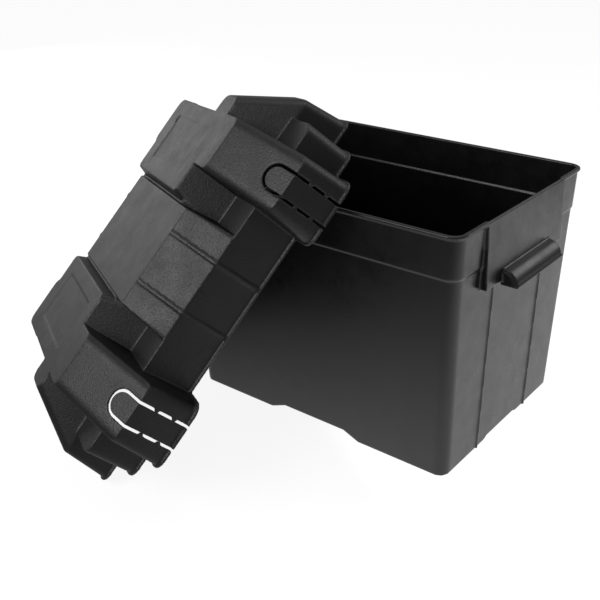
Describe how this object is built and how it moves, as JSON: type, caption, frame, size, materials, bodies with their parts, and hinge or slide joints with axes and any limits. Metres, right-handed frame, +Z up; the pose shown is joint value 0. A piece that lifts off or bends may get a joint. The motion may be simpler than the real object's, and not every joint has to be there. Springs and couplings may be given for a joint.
{
  "type": "battery box",
  "caption": "Open drafted plastic tub with end panels and finger grips, and a deep raised lid with cable humps and knock-out tabs that leans against it; holds batteries",
  "frame": {"origin": "on the ground, under the middle of the box round the tub and the leaning lid together", "axes": "+Z up, +X along the tub's long side, -Y towards the side the lid leans on"},
  "size_m": [0.6008, 0.5625, 0.4027],
  "materials": {
    "tub_plastic": "smooth satin black moulded plastic with a soft vertical sheen",
    "lid_plastic": "fine-grained matte black moulded plastic, shinier on the humps and edges",
    "tab_plastic": "fine-grained matte black moulded plastic, as the lid"
  },
  "bodies": {
    "tub_body": {"tub": "tub_plastic"},
    "lid_body": {"lid": "lid_plastic"},
    "tab_fl": {"tab_front_left": "tab_plastic"},
    "tab_fr": {"tab_front_right": "tab_plastic"},
    "tab_bl": {"tab_back_left": "tab_plastic"},
    "tab_br": {"tab_back_right": "tab_plastic"}
  },
  "joints": [
    {"name": "lid_lift", "type": "slide", "parent": "tub_body", "child": "lid_body", "axis": [-0.4281, -0.6197, 0.6578], "range_m": [0, 0.3]},
    {"name": "tab_fl_out", "type": "slide", "parent": "lid_body", "child": "tab_fl", "axis": [0.8724, -0.4733, 0.1219], "range_m": [0, 0.035]},
    {"name": "tab_fr_out", "type": "slide", "parent": "lid_body", "child": "tab_fr", "axis": [0.8724, -0.4733, 0.1219], "range_m": [0, 0.035]},
    {"name": "tab_bl_out", "type": "slide", "parent": "lid_body", "child": "tab_bl", "axis": [-0.8724, 0.4733, -0.1219], "range_m": [0, 0.035]},
    {"name": "tab_br_out", "type": "slide", "parent": "lid_body", "child": "tab_br", "axis": [-0.8724, 0.4733, -0.1219], "range_m": [0, 0.035]}
  ]
}
